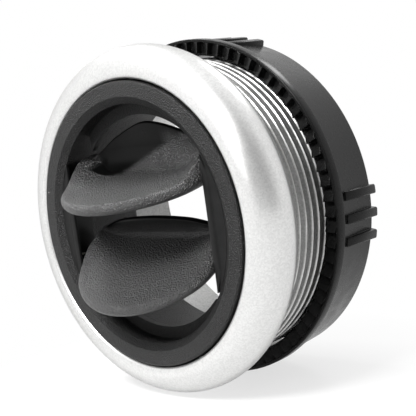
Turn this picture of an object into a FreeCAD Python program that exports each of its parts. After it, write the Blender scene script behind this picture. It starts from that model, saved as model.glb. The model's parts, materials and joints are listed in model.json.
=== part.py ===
"""Swivel air vent: silver bezel with threaded sleeve, clamp nut and a swivel ring with two blades.

The vent's axis is Y, its face looks along -Y and +Z is up. The origin lies on the axis, in the
plane where the bezel's rim seats on the panel. Every sketch measures depth from the face of the
swivel ring, and each body's Placement moves it forward by the depth of the seat.
"""

import FreeCAD
import Part
import Sketcher
import math
import os

doc = FreeCAD.newDocument("swivel_air_vent")

SIZES = {
    # Swivel ring
    "bore_radius": 25.1,
    "bore_draft": 0.2,
    "bevel_width": 1.5,
    "bevel_depth": 1.15,
    "ring_width": 4.75,
    "ring_edge_chamfer": 0.3,
    "flange_thickness": 5.4,
    "skirt_wall": 1.7,
    "skirt_end_depth": 22.7,
    "ledge_width": 2.5,
    "ledge_thickness": 1.3,
    "ledge_half_width": 16.0,
    # Bezel: front rim and seat
    "seam_gap": 0.3,
    "rim_lip_round": 1.05,
    "rim_round": 5.7,
    "rim_front": 0.1,
    "seat_width": 1.17409,
    # Bezel: threaded sleeve and spigot
    "sleeve_wall": 2.25,
    "thread_height": 0.7,
    "thread_pitch": 2.0,
    "thread_start_depth": 12.0,
    "thread_rise": 0.4,
    "thread_fall": 0.6,
    "thread_ridges": 10,
    "sleeve_end_depth": 33.4,
    "spigot_step": 1.4,
    "spigot_wall": 2.0,
    "spigot_end_depth": 37.0,
    "spigot_chamfer": 0.4,
    "duct_draft": 0.6,
    # Bezel: rib that the swivel ring turns on
    "skirt_gap": 0.3,
    "rib_thickness": 2.0,
    # Friction ring and retaining ring
    "friction_thickness": 0.8,
    "friction_play": 0.1,
    "friction_inner_gap": 0.6,
    "friction_outer_gap": 0.35,
    "groove_depth": 0.7,
    "groove_side_gap": 0.05,
    "retainer_width": 1.75,
    "retainer_floor_gap": 0.05,
    "retainer_play": 0.1,
    "retainer_thickness": 1.2,
    "retainer_opening": 24.0,
    # Cheeks
    "cheek_chord": 20.8,
    "cheek_strip_width": 1.4,
    "cheek_wall_step": 1.65,
    "cheek_end_depth": 7.0,
    "cheek_fit": 0.05,
    # Blades
    "pivot_depth": 3.2,
    "upper_pivot_height": 8.8,
    "lower_pivot_height": -8.0,
    "upper_tilt": 15.7,
    "lower_tilt": 34.8,
    "blade_thickness": 2.6,
    "blade_side_gap": 0.4,
    "blade_nose_gap": 0.3,
    "strip_gap": 0.3,
    "ledge_gap": 0.25,
    "blade_reach": 14.9,
    "blade_tail": 7.6,
    "blade_corner_round": 3.0,
    "blade_edge_round": 1.1,
    "wing_side_gap": 0.55,
    "wing_overlap": 1.4,
    "wing_front": 1.4,
    "wing_back": 4.6,
    "wing_taper": 1.2,
    "wing_thickness": 2.2,
    "web_thickness": 1.4,
    "web_half_width": 17.2,
    "upper_web_height": 10.8,
    "upper_web_arch": 24.0,
    "lower_web_height": 6.5,
    "lower_web_arch": 80.0,
    # Pivot pins and bushes
    "hub_inset": 0.05,
    "pin_radius": 1.0,
    "pin_reach": 2.0,
    "pin_fit": 0.06,
    "pin_end_gap": 0.3,
    "bush_radius": 1.5,
    "bush_fit": 0.05,
    "bush_end_inset": 2.6,
    # Clamp nut
    "nut_thread_gap": 0.3,
    "nut_face_depth": 21.4,
    "nut_flange_width": 3.6,
    "nut_flange_thickness": 1.3,
    "nut_front_wall": 3.0,
    "nut_back_wall": 2.1,
    "nut_end_depth": 34.2,
    "nut_edge_chamfer": 0.5,
    "nut_lip_width": 0.7,
    "nut_lip_height": 0.9,
    "nut_turn": 5.7,
    "tooth_height": 1.4,
    "tooth_count": 72,
    "tooth_width": 2.8,
    "tooth_shift": 0.6,
    "tooth_inner_gap": 0.5,
    "grip_height": 1.2,
    "grip_width": 1.9,
    "grip_front_gap": 2.6,
    "grip_step_angle": 7.4,
    "grip_group_angle": 79.5,
}

# How far added features reach into the solid that carries them
EMBED = 0.3
GRIP_EMBED = 1.0


class Term:
    """A size together with the sheet expression that gives it."""

    def __init__(self, text, value):
        self.text = text
        self.value = value

    def __add__(self, other):
        other = as_term(other)
        return Term(f"({self.text} + {other.text})", self.value + other.value)

    def __sub__(self, other):
        other = as_term(other)
        return Term(f"({self.text} - {other.text})", self.value - other.value)

    def __mul__(self, other):
        other = as_term(other)
        return Term(f"({self.text} * {other.text})", self.value * other.value)

    def __truediv__(self, other):
        other = as_term(other)
        return Term(f"({self.text} / {other.text})", self.value / other.value)


def as_term(number):
    """Return a number as a Term."""
    if isinstance(number, Term):
        return number
    return Term(repr(float(number)), float(number))


def leg(hypotenuse, side):
    """The other leg of a right triangle."""
    square = hypotenuse * hypotenuse - side * side
    return Term(f"sqrt({square.text})", math.sqrt(square.value))


def seat_depth():
    """Depth of the seat, where the rim's large arc has come in to the seat's outer edge."""
    inward = size("sleeve_wall") + size("thread_height") + size("seat_width") - size("rim_lip_round")
    return size("rim_front") + size("rim_round") + leg(size("rim_round"), inward)


def place_sizes():
    """Work out the radii and depths that several pieces share."""
    bore = size("bore_radius")
    thickness = size("blade_thickness")
    shared = {"bore_back": bore + size("bore_draft"), "seat_depth": seat_depth()}
    shared["bevel_outer"] = bore + size("bevel_width")
    shared["ring_outer"] = bore + size("ring_width")
    shared["seam"] = shared["ring_outer"] + size("seam_gap")
    shared["skirt"] = shared["bore_back"] + size("skirt_wall")
    shared["rib_inner"] = shared["skirt"] + size("skirt_gap")
    shared["groove_floor"] = shared["skirt"] - size("groove_depth")
    shared["ledge"] = bore - size("ledge_width")
    shared["thread_root"] = shared["seam"] + size("sleeve_wall")
    shared["thread_crest"] = shared["thread_root"] + size("thread_height")
    shared["spigot"] = shared["thread_root"] - size("spigot_step")
    shared["duct"] = shared["spigot"] - size("spigot_wall")
    shared["nut_bore"] = shared["thread_crest"] + size("nut_thread_gap")
    shared["friction_back"] = size("flange_thickness") + size("friction_thickness")
    shared["rib_front"] = shared["friction_back"] + size("friction_play")
    shared["rib_back"] = shared["rib_front"] + size("rib_thickness")
    shared["retainer_front"] = shared["rib_back"] + size("retainer_play")
    shared["ledge_front"] = size("pivot_depth") + thickness / 2 + size("ledge_gap")
    shared["strip_back"] = size("pivot_depth") - thickness / 2 - size("strip_gap")
    shared["cheek_wall"] = size("cheek_chord") + size("cheek_wall_step")
    shared["blade_half"] = size("cheek_chord") - size("blade_side_gap")
    shared["wing_half"] = shared["cheek_wall"] - size("wing_side_gap")
    shared["pin_end"] = shared["wing_half"] + size("pin_reach")
    shared["nose"] = bore - size("blade_nose_gap")
    return shared


def make_sheet():
    """Write the driving dimensions into a sheet, one named cell each."""
    sheet = doc.addObject("Spreadsheet::Sheet", "Sizes")
    for row, (name, value) in enumerate(SIZES.items(), start=1):
        sheet.set(f"A{row}", name)
        sheet.set(f"B{row}", str(value))
        sheet.setAlias(f"B{row}", name)
    doc.recompute()


def size(name):
    """A driving dimension as a Term."""
    return Term(f"Sizes.{name}", float(SIZES[name]))


def bind(feature, path, term):
    """Drive one property of a feature by the sheet."""
    feature.setExpression(path, as_term(term).text)


def new_body(label):
    """A body named label whose depths count from the face of the swivel ring."""
    body = doc.addObject("PartDesign::Body", label)
    body.Label = label
    bind(body, "Placement.Base.y", seat_depth() * -1)
    return body


def origin_feature(body, role):
    """One of the body's own origin planes or axes."""
    for feature in body.Origin.OriginFeatures:
        if feature.Role == role:
            return feature
    raise ValueError(role)


def sketch_on(body, name, role, offset=None):
    """A sketch on one of the body's origin planes, moved along the plane's normal."""
    sketch = body.newObject("Sketcher::SketchObject", name)
    sketch.AttachmentSupport = [(origin_feature(body, role), "")]
    sketch.MapMode = "FlatFace"
    if offset is not None:
        bind(sketch, "AttachmentOffset.Base.z", offset)
    return sketch


def tangent_sketch(body, name, radius, angle):
    """A sketch square to the ray that leaves the axis at an angle below +X, at a radius."""
    sketch = sketch_on(body, name, "YZ_Plane")
    turn = math.radians(angle.value)
    offset = FreeCAD.Vector(0, -radius.value * math.sin(turn), radius.value * math.cos(turn))
    sketch.AttachmentOffset = FreeCAD.Placement(
        offset, FreeCAD.Rotation(FreeCAD.Vector(1, 0, 0), angle.value))
    bind(sketch, "AttachmentOffset.Base.y", Term(f"(-1 * {radius.text} * sin({angle.text}))", 0))
    bind(sketch, "AttachmentOffset.Base.z", Term(f"({radius.text} * cos({angle.text}))", 0))
    bind(sketch, "AttachmentOffset.Rotation.Angle", angle)
    return sketch


def arc_geometry(start, end, radius, turn):
    """Arc from start to end; turn is 1 where its centre lies left of the way and -1 where right."""
    half = (end - start).Length / 2
    rise = math.sqrt(max(radius * radius - half * half, 0.0))
    across = FreeCAD.Vector(start.y - end.y, end.x - start.x, 0).normalize()
    centre = (start + end) * 0.5 + across * (rise * turn)
    first, last = (start, end) if turn > 0 else (end, start)
    begin = math.atan2(first.y - centre.y, first.x - centre.x)
    finish = math.atan2(last.y - centre.y, last.x - centre.x)
    circle = Part.Circle(centre, FreeCAD.Vector(0, 0, 1), radius)
    return Part.ArcOfCircle(circle, begin, finish)


def fix_coordinate(sketch, kind, axis, geometry, position, term):
    """Bind one coordinate of a sketch point to the sheet."""
    if abs(term.value) < 1e-9:
        sketch.addConstraint(Sketcher.Constraint("PointOnObject", geometry, position, axis))
        return
    if term.value > 0:
        ends = (-1, 1, geometry, position)
        driver = term
    else:
        ends = (geometry, position, -1, 1)
        driver = term * -1
    number = sketch.addConstraint(Sketcher.Constraint(kind, *ends, driver.value))
    bind(sketch, f"Constraints[{number}]", driver)


def draw(sketch, outline):
    """Draw a closed outline with its corners and arc radii bound to the sheet.

    A corner is (x, y) before a straight line and (x, y, radius, turn) before an arc.
    """
    corners = [(as_term(corner[0]), as_term(corner[1])) for corner in outline]
    places = [FreeCAD.Vector(x.value, y.value, 0) for x, y in corners]
    edges = []
    for index, corner in enumerate(outline):
        start = places[index]
        end = places[(index + 1) % len(outline)]
        if len(corner) == 2:
            geometry = sketch.addGeometry(Part.LineSegment(start, end), False)
            edges.append((geometry, 1, 2))
        else:
            radius = as_term(corner[2])
            geometry = sketch.addGeometry(arc_geometry(start, end, radius.value, corner[3]), False)
            edges.append((geometry, 1, 2) if corner[3] > 0 else (geometry, 2, 1))
    for index, (geometry, start_position, _) in enumerate(edges):
        before, _, end_position = edges[index - 1]
        joined = Sketcher.Constraint("Coincident", before, end_position, geometry, start_position)
        sketch.addConstraint(joined)
        x, y = corners[index]
        fix_coordinate(sketch, "DistanceX", -2, geometry, start_position, x)
        fix_coordinate(sketch, "DistanceY", -1, geometry, start_position, y)
        if len(outline[index]) == 4:
            radius = as_term(outline[index][2])
            number = sketch.addConstraint(Sketcher.Constraint("Radius", geometry, radius.value))
            bind(sketch, f"Constraints[{number}]", radius)


def draw_circle(sketch, x, y, radius):
    """Draw a circle with its centre and radius bound to the sheet."""
    x, y, radius = as_term(x), as_term(y), as_term(radius)
    centre = FreeCAD.Vector(x.value, y.value, 0)
    circle = Part.Circle(centre, FreeCAD.Vector(0, 0, 1), radius.value)
    geometry = sketch.addGeometry(circle, False)
    number = sketch.addConstraint(Sketcher.Constraint("Radius", geometry, radius.value))
    bind(sketch, f"Constraints[{number}]", radius)
    fix_coordinate(sketch, "DistanceX", -2, geometry, 3, x)
    fix_coordinate(sketch, "DistanceY", -1, geometry, 3, y)


def flipped(outline, side):
    """The outline on the +X side, or its mirror image on the -X side."""
    corners = []
    for corner in outline:
        turn = corner[2:] if len(corner) == 2 else (corner[2], corner[3] * side)
        corners.append((as_term(corner[0]) * side, corner[1], *turn))
    return corners


def revolve(body, name, outline):
    """Turn an outline of (radius, depth) corners about the vent's axis."""
    sketch = sketch_on(body, f"{name}_profile", "XY_Plane")
    draw(sketch, outline)
    feature = body.newObject("PartDesign::Revolution", name)
    feature.Profile = sketch
    feature.ReferenceAxis = (sketch, ["V_Axis"])
    feature.Angle = 360.0
    return feature


def extrude(body, kind, name, sketch, length, reverse=False):
    """Pad or pocket a sketch by a length bound to the sheet."""
    feature = body.newObject(f"PartDesign::{kind}", name)
    feature.Profile = sketch
    feature.Reversed = reverse
    bind(feature, "Length", length)
    return feature


def pattern_round(body, name, originals, count):
    """Repeat features evenly about the vent's axis."""
    pattern = body.newObject("PartDesign::PolarPattern", name)
    pattern.Originals = originals
    pattern.Axis = (origin_feature(body, "Y_Axis"), [""])
    pattern.Angle = 360.0
    bind(pattern, "Occurrences", count)
    body.Tip = pattern
    return pattern


def pattern_along(body, name, originals, length, count):
    """Repeat features evenly along the vent's axis."""
    pattern = body.newObject("PartDesign::LinearPattern", name)
    pattern.Originals = originals
    pattern.Direction = (origin_feature(body, "Y_Axis"), [""])
    bind(pattern, "Length", length)
    bind(pattern, "Occurrences", count)
    body.Tip = pattern
    return pattern


def make_bezel(at):
    """Silver moulding: rounded rim, seat, inner rib, threaded sleeve and spigot."""
    body = new_body("bezel")
    lip = size("rim_lip_round")
    round_centre = at["seam"] + lip
    seat_outer = at["thread_crest"] + size("seat_width")
    chamfer = size("spigot_chamfer")
    revolve(body, "bezel_shell", [
        (at["seam"], size("rim_front") + lip, lip, -1),
        (round_centre, size("rim_front"), size("rim_round"), 1),
        (seat_outer, at["seat_depth"]),
        (at["thread_crest"], at["seat_depth"]),
        (at["thread_crest"], size("thread_start_depth")),
        (at["thread_root"], size("thread_start_depth") + size("thread_rise")),
        (at["thread_root"], size("sleeve_end_depth")),
        (at["spigot"], size("sleeve_end_depth") + chamfer),
        (at["spigot"], size("spigot_end_depth") - chamfer),
        (at["spigot"] - chamfer, size("spigot_end_depth")),
        (at["duct"], size("spigot_end_depth")),
        (at["duct"] - size("duct_draft"), at["rib_back"]),
        (at["rib_inner"], at["rib_back"]),
        (at["rib_inner"], at["rib_front"]),
        (at["seam"], at["rib_front"]),
    ])
    start = size("thread_start_depth") + size("thread_pitch") - size("thread_fall")
    crest = start + size("thread_rise")
    root_radius = at["thread_root"] - EMBED
    ridge = revolve(body, "thread_ridge", [
        (root_radius, start),
        (at["thread_root"], start),
        (at["thread_crest"], crest),
        (at["thread_root"], crest + size("thread_fall")),
        (root_radius, crest + size("thread_fall")),
    ])
    count = size("thread_ridges")
    pattern_along(body, "thread", [ridge], size("thread_pitch") * (count - 1), count)
    return body


def make_swivel_ring(at):
    """Black ring: textured face, bevel, bore with stop ledges, flange and skirt."""
    body = new_body("swivel_ring")
    outer = at["ring_outer"]
    chamfer = size("ring_edge_chamfer")
    groove_front = at["retainer_front"] - size("groove_side_gap")
    groove_back = groove_front + size("retainer_thickness") + size("groove_side_gap") * 2
    revolve(body, "ring_shell", [
        (size("bore_radius"), size("bevel_depth")),
        (at["bevel_outer"], 0),
        (outer - chamfer, 0),
        (outer, chamfer),
        (outer, size("flange_thickness")),
        (at["skirt"], size("flange_thickness")),
        (at["skirt"], groove_front),
        (at["groove_floor"], groove_front),
        (at["groove_floor"], groove_back),
        (at["skirt"], groove_back),
        (at["skirt"], size("skirt_end_depth")),
        (at["bore_back"], size("skirt_end_depth")),
    ])
    half = size("ledge_half_width")
    root_radius = at["bore_back"] + EMBED
    sketch = sketch_on(body, "ledge_outline", "XZ_Plane", at["ledge_front"] * -1)
    draw(sketch, [
        (half, leg(at["ledge"], half), at["ledge"], 1),
        (half * -1, leg(at["ledge"], half)),
        (half * -1, leg(root_radius, half), root_radius, -1),
        (half, leg(root_radius, half)),
    ])
    ledge = extrude(body, "Pad", "stop_ledge", sketch, size("ledge_thickness"), reverse=True)
    pattern_round(body, "stop_ledges", [ledge], 2)
    cut_bush_holes(body, at)
    return body


def cut_bush_holes(body, at):
    """Cut the holes for the pivot bushes right through along X."""
    sketch = sketch_on(body, "bush_circles", "YZ_Plane", at["seam"])
    for height in ("upper_pivot_height", "lower_pivot_height"):
        radius = size("bush_radius") + size("bush_fit")
        draw_circle(sketch, size("pivot_depth"), size(height), radius)
    extrude(body, "Pocket", "bush_holes", sketch, at["seam"] * 2)


def segment(chord, radius):
    """Outline between a chord at x = chord and an arc about the vent's axis."""
    reach = leg(radius, chord)
    return [(chord, reach * -1, radius, 1), (chord, reach)]


def make_cheek(label, side, at):
    """Segment beside the opening: front strip, sunk land and the wall that holds the bushes."""
    body = new_body(label)
    arc = size("bore_radius") - size("cheek_fit")
    face = sketch_on(body, "face_outline", "XZ_Plane")
    draw(face, flipped(segment(size("cheek_chord"), arc), side))
    extrude(body, "Pad", "face_plate", face, at["strip_back"], reverse=True)
    wall = sketch_on(body, "wall_outline", "XZ_Plane", at["strip_back"] * -1)
    draw(wall, flipped(segment(at["cheek_wall"], arc), side))
    wall_length = size("cheek_end_depth") - at["strip_back"]
    extrude(body, "Pad", "pivot_wall", wall, wall_length, reverse=True)
    land = sketch_on(body, "land_outline", "XZ_Plane")
    strip_edge = size("cheek_chord") + size("cheek_strip_width")
    draw(land, flipped(segment(strip_edge, at["bore_back"] + EMBED), side))
    extrude(body, "Pocket", "sunk_land", land, size("bevel_depth"))
    cut_bush_holes(body, at)
    return body


def round_edges(body, name, base, radius, wanted):
    """Round each edge of base that the test wanted picks."""
    doc.recompute()
    edges = base.Shape.Edges
    names = [f"Edge{number}" for number, edge in enumerate(edges, start=1) if wanted(edge)]
    fillet = body.newObject("PartDesign::Fillet", name)
    fillet.Base = (base, names)
    bind(fillet, "Radius", radius)
    return fillet


def make_blade(label, height, tilt, web_height, web_arch, at):
    """D-shaped blade about its pivot: plate, wings behind the pivot, raised rear web and pins."""
    body = doc.addObject("PartDesign::Body", label)
    body.Label = label
    body.Placement = FreeCAD.Placement(
        FreeCAD.Vector(0, 0, 0), FreeCAD.Rotation(FreeCAD.Vector(1, 0, 0), tilt.value))
    bind(body, "Placement.Base.y", size("pivot_depth") - seat_depth())
    bind(body, "Placement.Base.z", height)
    bind(body, "Placement.Rotation.Angle", tilt)
    half = at["blade_half"]
    thickness = size("blade_thickness")
    nose = at["nose"]
    side_front = nose - size("blade_reach") - leg(nose, half)
    tail = size("blade_tail")
    corner = size("blade_corner_round")
    plate_sketch = sketch_on(body, "plate_outline", "XY_Plane", thickness * -0.5)
    draw(plate_sketch, [
        (half * -1, side_front, nose, 1),
        (half, side_front),
        (half, tail - corner, corner, 1),
        (half - corner, tail),
        ((half - corner) * -1, tail, corner, 1),
        (half * -1, tail - corner),
    ])
    plate = extrude(body, "Pad", "plate", plate_sketch, thickness)
    top = thickness.value / 2

    def on_face(edge):
        box = edge.BoundBox
        return box.ZLength < 1e-6 and abs(abs(box.ZMax) - top) < 1e-6

    round_edges(body, "plate_rounding", plate, size("blade_edge_round"), on_face)
    wing_thickness = size("wing_thickness")
    for side, word in ((1, "right"), (-1, "left")):
        wing_sketch = sketch_on(body, f"{word}_wing_outline", "XY_Plane", wing_thickness * -0.5)
        draw(wing_sketch, flipped([
            (half - size("wing_overlap"), size("wing_front")),
            (at["wing_half"], size("wing_front")),
            (at["wing_half"], size("wing_back") - size("wing_taper")),
            (at["wing_half"] - size("wing_taper"), size("wing_back")),
            (half - size("wing_overlap"), size("wing_back")),
        ], side))
        extrude(body, "Pad", f"{word}_wing", wing_sketch, wing_thickness)
    web_half = size("web_half_width")
    web_end = web_height - web_arch + leg(web_arch, web_half)
    web_sketch = sketch_on(body, "web_outline", "XZ_Plane", (tail - size("blade_edge_round") * 0.5) * -1)
    draw(web_sketch, [
        (web_half * -1, 0),
        (web_half, 0),
        (web_half, web_end, web_arch, 1),
        (web_half * -1, web_end),
    ])
    extrude(body, "Pad", "rear_web", web_sketch, size("web_thickness"))
    hub_sketch = sketch_on(body, "hub_circle", "YZ_Plane", at["wing_half"] * -1)
    draw_circle(hub_sketch, 0, 0, thickness / 2 - size("hub_inset"))
    extrude(body, "Pad", "hub", hub_sketch, at["wing_half"] * 2)
    pin_end = at["pin_end"]
    pin_sketch = sketch_on(body, "pin_circle", "YZ_Plane", pin_end * -1)
    draw_circle(pin_sketch, 0, 0, size("pin_radius"))
    extrude(body, "Pad", "pins", pin_sketch, pin_end * 2)
    return body


def make_bush(label, side, height, at):
    """Bush in the cheek and the ring, with a blind hole for the blade's pin."""
    body = new_body(label)
    inner_end = at["cheek_wall"]
    outer_end = at["ring_outer"] - size("bush_end_inset")
    backward = side < 0
    outline = sketch_on(body, "bush_outline", "YZ_Plane", inner_end * side)
    draw_circle(outline, size("pivot_depth"), height, size("bush_radius"))
    extrude(body, "Pad", "sleeve", outline, outer_end - inner_end, reverse=backward)
    hole = sketch_on(body, "pin_hole_circle", "YZ_Plane", inner_end * side)
    draw_circle(hole, size("pivot_depth"), height, size("pin_radius") + size("pin_fit"))
    depth = at["pin_end"] + size("pin_end_gap") - inner_end
    extrude(body, "Pocket", "pin_hole", hole, depth, reverse=not backward)
    return body


def make_friction_ring(at):
    """Flat ring between the swivel ring's flange and the bezel's rib."""
    body = new_body("friction_ring")
    inner = at["skirt"] + size("friction_inner_gap")
    outer = at["ring_outer"] - size("friction_outer_gap")
    revolve(body, "friction_band", [
        (inner, size("flange_thickness")),
        (outer, size("flange_thickness")),
        (outer, at["friction_back"]),
        (inner, at["friction_back"]),
    ])
    return body


def make_retaining_ring(at):
    """Split snap ring in the skirt's groove, behind the bezel's rib."""
    body = new_body("retaining_ring")
    front = at["retainer_front"]
    inner = at["groove_floor"] + size("retainer_floor_gap")
    outer = inner + size("retainer_width")
    ring = revolve(body, "snap_band", [
        (inner, front),
        (outer, front),
        (outer, front + size("retainer_thickness")),
        (inner, front + size("retainer_thickness")),
    ])
    bind(ring, "Angle", as_term(360) - size("retainer_opening"))
    return body


def make_clamp_nut(at):
    """Ring nut: flange with a crown of ratchet teeth, tapered wall and grip ribs."""
    body = new_body("clamp_nut")
    body.Placement = FreeCAD.Placement(
        FreeCAD.Vector(0, 0, 0), FreeCAD.Rotation(FreeCAD.Vector(0, 1, 0), SIZES["nut_turn"]))
    bind(body, "Placement.Base.y", seat_depth() * -1)
    bind(body, "Placement.Rotation.Angle", size("nut_turn"))
    inner = at["nut_bore"]
    flange_outer = inner + size("nut_flange_width")
    wall_back_outer = inner + size("nut_back_wall")
    face = size("nut_face_depth")
    end = size("nut_end_depth")
    chamfer = size("nut_edge_chamfer")
    lip_inner = flange_outer - size("nut_lip_width")
    revolve(body, "nut_shell", [
        (inner, face),
        (lip_inner, face),
        (lip_inner, face - size("nut_lip_height")),
        (flange_outer, face - size("nut_lip_height")),
        (flange_outer, face + size("nut_flange_thickness")),
        (inner + size("nut_front_wall"), face + size("nut_flange_thickness")),
        (wall_back_outer, end - chamfer),
        (wall_back_outer - chamfer, end),
        (inner, end),
    ])
    tooth_inner = inner + size("tooth_inner_gap")
    half_tooth = size("tooth_width") / 2
    low_edge = half_tooth - size("tooth_shift")
    high_edge = (half_tooth + size("tooth_shift")) * -1
    tooth_sketch = sketch_on(body, "tooth_outline", "YZ_Plane", tooth_inner)
    draw(tooth_sketch, [
        (face + EMBED, low_edge),
        (face, low_edge),
        (face - size("tooth_height"), high_edge),
        (face + EMBED, high_edge),
    ])
    tooth = extrude(body, "Pad", "tooth", tooth_sketch, lip_inner + EMBED - tooth_inner)
    pattern_round(body, "tooth_crown", [tooth], size("tooth_count"))
    half_grip = size("grip_width") / 2
    outline = [
        (face + size("grip_front_gap"), half_grip * -1),
        (end, half_grip * -1),
        (end, half_grip),
        (face + size("grip_front_gap"), half_grip),
    ]
    ribs = []
    for group in (0, 1):
        for step in (-1, 0, 1):
            angle = size("grip_step_angle") * step - size("grip_group_angle") * group
            number = len(ribs) + 1
            sketch = tangent_sketch(body, f"grip_outline_{number}", wall_back_outer - GRIP_EMBED, angle)
            draw(sketch, outline)
            height = size("grip_height") + GRIP_EMBED
            ribs.append(extrude(body, "Pad", f"grip_rib_{number}", sketch, height))
    pattern_round(body, "grip_ribs", ribs, 2)
    return body


def check_document(bodies):
    """Stop on any failed feature, and on any body that is empty or not one valid solid."""
    for feature in doc.Objects:
        if "Invalid" in feature.State or "Error" in feature.State:
            raise RuntimeError(f"{feature.Name} failed: {feature.State}")
    for body in bodies:
        shape = body.Shape
        if shape.isNull() or not shape.isValid():
            raise RuntimeError(f"{body.Label} has no valid shape")
        if len(shape.Solids) != 1:
            raise RuntimeError(f"{body.Label} has {len(shape.Solids)} solids")


def main():
    """Build every piece, check it and write one STEP file for each."""
    make_sheet()
    at = place_sizes()
    upper = size("upper_pivot_height")
    lower = size("lower_pivot_height")
    bodies = [
        make_bezel(at),
        make_swivel_ring(at),
        make_cheek("left_cheek", -1, at),
        make_cheek("right_cheek", 1, at),
        make_blade("upper_blade", upper, size("upper_tilt"),
                   size("upper_web_height"), size("upper_web_arch"), at),
        make_blade("lower_blade", lower, size("lower_tilt"),
                   size("lower_web_height"), size("lower_web_arch"), at),
        make_bush("upper_left_bush", -1, upper, at),
        make_bush("upper_right_bush", 1, upper, at),
        make_bush("lower_left_bush", -1, lower, at),
        make_bush("lower_right_bush", 1, lower, at),
        make_friction_ring(at),
        make_retaining_ring(at),
        make_clamp_nut(at),
    ]
    doc.recompute()
    check_document(bodies)
    os.makedirs("parts", exist_ok=True)
    for body in bodies:
        body.Shape.exportStep(f"parts/{body.Label}.step")
        print(body.Label, round(body.Shape.Volume, 1))


main()
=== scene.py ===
"""Dresses the swivel air vent: finishes, silver bezel with its thread, studio light and camera."""

import json
import math

import bpy
import numpy as np
from mathutils import Matrix, Vector


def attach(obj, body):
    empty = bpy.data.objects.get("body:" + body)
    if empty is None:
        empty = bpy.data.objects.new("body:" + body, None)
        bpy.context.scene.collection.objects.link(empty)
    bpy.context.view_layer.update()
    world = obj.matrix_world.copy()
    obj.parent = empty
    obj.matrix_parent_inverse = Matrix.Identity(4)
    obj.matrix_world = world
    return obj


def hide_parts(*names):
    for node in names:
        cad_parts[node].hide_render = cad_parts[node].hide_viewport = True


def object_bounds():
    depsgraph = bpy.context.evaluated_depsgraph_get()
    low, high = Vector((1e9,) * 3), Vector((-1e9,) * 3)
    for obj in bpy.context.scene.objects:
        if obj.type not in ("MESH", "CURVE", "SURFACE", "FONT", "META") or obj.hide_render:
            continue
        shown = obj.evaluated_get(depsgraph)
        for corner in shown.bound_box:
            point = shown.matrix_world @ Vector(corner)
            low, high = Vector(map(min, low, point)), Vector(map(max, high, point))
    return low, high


bl_info = {
    "name": "Swivel Air Vent",
    "version": (1, 0, 0),
    "blender": (4, 5, 0),
    "location": "View3D > Sidebar > Air Vent",
    "description": "Finishes a round swivel air vent and sets up its studio",
    "category": "Object",
}

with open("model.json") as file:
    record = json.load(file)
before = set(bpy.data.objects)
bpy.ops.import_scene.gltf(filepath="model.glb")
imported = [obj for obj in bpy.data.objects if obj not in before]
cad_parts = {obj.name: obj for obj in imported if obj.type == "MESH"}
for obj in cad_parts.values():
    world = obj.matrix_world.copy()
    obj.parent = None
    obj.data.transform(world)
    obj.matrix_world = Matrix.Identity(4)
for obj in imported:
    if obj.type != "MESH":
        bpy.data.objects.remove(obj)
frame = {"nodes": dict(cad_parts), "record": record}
CAD_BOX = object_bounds()
MM = 0.001

NODE_BODIES = {node: body
               for body, nodes in frame["record"]["behaviour"]["bodies"].items()
               for node in nodes}

# Sizes of the CAD model that the fine pieces keep, in millimetres and degrees. Depths are measured
# from the swivel ring's face towards the duct, radii and heights from the vent's axis.
SEAT_DEPTH = 10.6
SLEEVE_RADIUS = 32.4
THREAD_PITCH = 2.0
TOOTH_COUNT = 72
NUT_TURN = 5.7
CHEEK_CHORD = 20.8
PIVOT_DEPTH = 3.2
UPPER_HEIGHT, UPPER_TILT = 8.8, 15.7
LOWER_HEIGHT, LOWER_TILT = -8.0, 34.8

# Finer sizes that only this script gives, in millimetres and degrees
THREAD_START, THREAD_END, THREAD_RUN_OUT = 12.6, 33.2, 1.2
CREST_WIDTH = 0.12
CROWN_TURN = 3.3
RIB_STEP = 7.4
PLATE_HALF_THICKNESS = 1.3
LIFT_START, LIFT_WIDTH = 9.0, 11.4
WEB_FACE = 6.15
SHARP_ANGLE = 38

# Camera measured from the photograph, in the vent's own frame
VIEW_AZIMUTH = math.radians(44.0)
VIEW_ELEVATION = math.radians(14.0)
VENT_TURN = math.radians(11.0)
CAMERA_DISTANCE = 200.0 * MM
CAMERA_RIGHT = 15.288 * MM
CAMERA_UP = 3.706 * MM
FACE_DEPTH = -SEAT_DEPTH * MM
FOCAL_PIXELS = 970.0
PHOTO_PIXELS = 416.0
SENSOR_WIDTH = 36.0

# A Mix node set to colours has its sockets under these numbers
FACTOR, COLOUR_A, COLOUR_B, COLOUR_OUT = 0, 6, 7, 2
WHITE = (1.0, 1.0, 1.0, 1.0)


def linear(hex_colour):
    """Turn an sRGB hex colour into the linear colour that a shader socket wants."""
    channels = [int(hex_colour[i:i + 2], 16) / 255.0 for i in (1, 3, 5)]
    bright = [c / 12.92 if c <= 0.04045 else ((c + 0.055) / 1.055) ** 2.4 for c in channels]
    return (*bright, 1.0)


def add(tree, kind, inputs=None, output=None, **settings):
    """Add a node with its settings, and set or link its inputs by the socket's name or number.

    Gives back the output that is asked for, or the node itself where none is.
    """
    node = tree.nodes.new(kind)
    for name, value in settings.items():
        setattr(node, name, value)
    for name, value in (inputs or {}).items():
        if isinstance(value, bpy.types.NodeSocket):
            tree.links.new(value, node.inputs[name])
        else:
            node.inputs[name].default_value = value
    return node if output is None else node.outputs[output]


def new_material(name):
    """A named material with an empty node tree, and its object coordinates in metres."""
    material = bpy.data.materials.new(name)
    material.use_nodes = True
    tree = material.node_tree
    tree.nodes.clear()
    return material, tree, add(tree, "ShaderNodeTexCoord", output="Object")


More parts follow.
